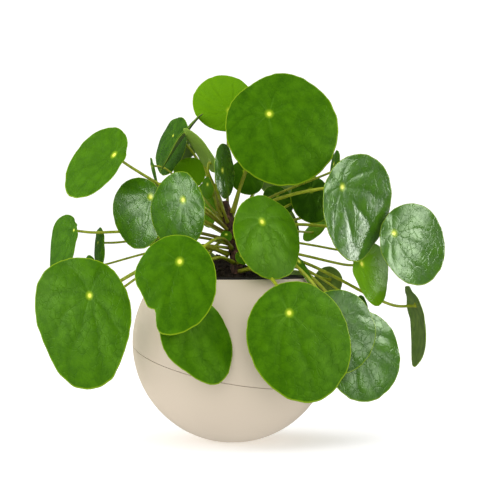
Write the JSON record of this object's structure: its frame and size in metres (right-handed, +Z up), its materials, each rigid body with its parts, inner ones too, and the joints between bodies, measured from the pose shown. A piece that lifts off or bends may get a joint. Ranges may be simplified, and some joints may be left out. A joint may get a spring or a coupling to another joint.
{
  "type": "potted chinese money plant",
  "caption": "Leafy house plant with round coin-shaped leaves on long stalks around one woody trunk, in a ball-shaped planter with a flat foot.",
  "frame": {"origin": "middle of the planter's flat foot, on the surface that it stands on", "axes": "+Z up, -Y towards the front, +X to the right as seen from the front"},
  "size_m": [0.3878, 0.2738, 0.3487],
  "materials": {
    "beige_plastic": "smooth matte",
    "black_plastic": "satin",
    "potting_soil": "rough, damp",
    "trunk_bark": "rough bark",
    "leaf_green": "waxy, glossy above",
    "young_leaf_green": "waxy, glossy above"
  },
  "bodies": {
    "root": {"planter_lower_shell": "beige_plastic", "planter_upper_shell": "beige_plastic", "growing_pot": "black_plastic", "soil": "potting_soil", "trunk": "trunk_bark", "leaf_top_1": "leaf_green", "leaf_top_2": "young_leaf_green", "leaf_top_3": "young_leaf_green", "leaf_top_4": "leaf_green", "leaf_top_5": "leaf_green", "leaf_top_6": "leaf_green", "leaf_top_7": "leaf_green", "leaf_left_1": "leaf_green", "leaf_left_2": "leaf_green", "leaf_left_3": "leaf_green", "leaf_left_4": "leaf_green", "leaf_left_5": "leaf_green", "leaf_left_6": "leaf_green", "leaf_left_7": "leaf_green", "leaf_front_1": "leaf_green", "leaf_front_2": "leaf_green", "leaf_front_3": "leaf_green", "leaf_front_4": "leaf_green", "leaf_front_5": "leaf_green", "leaf_right_1": "leaf_green", "leaf_right_2": "leaf_green", "leaf_right_3": "young_leaf_green", "leaf_right_4": "leaf_green", "leaf_right_5": "leaf_green", "leaf_right_6": "leaf_green", "leaf_right_7": "leaf_green", "leaf_right_8": "leaf_green", "leaf_right_9": "leaf_green", "leaf_right_10": "leaf_green", "leaf_right_11": "leaf_green", "leaf_inner_1": "leaf_green", "leaf_inner_2": "leaf_green", "leaf_inner_3": "young_leaf_green", "leaf_inner_4": "leaf_green", "leaf_inner_5": "leaf_green", "leaf_inner_6": "leaf_green", "leaf_inner_7": "young_leaf_green", "leaf_base_1": "leaf_green", "leaf_base_2": "leaf_green", "leaf_back_1": "leaf_green", "leaf_back_2": "leaf_green", "leaf_back_3": "leaf_green", "leaf_back_4": "leaf_green", "leaf_back_5": "leaf_green", "leaf_back_6": "leaf_green", "leaf_back_7": "leaf_green", "leaf_back_8": "leaf_green"}
  },
  "joints": []
}
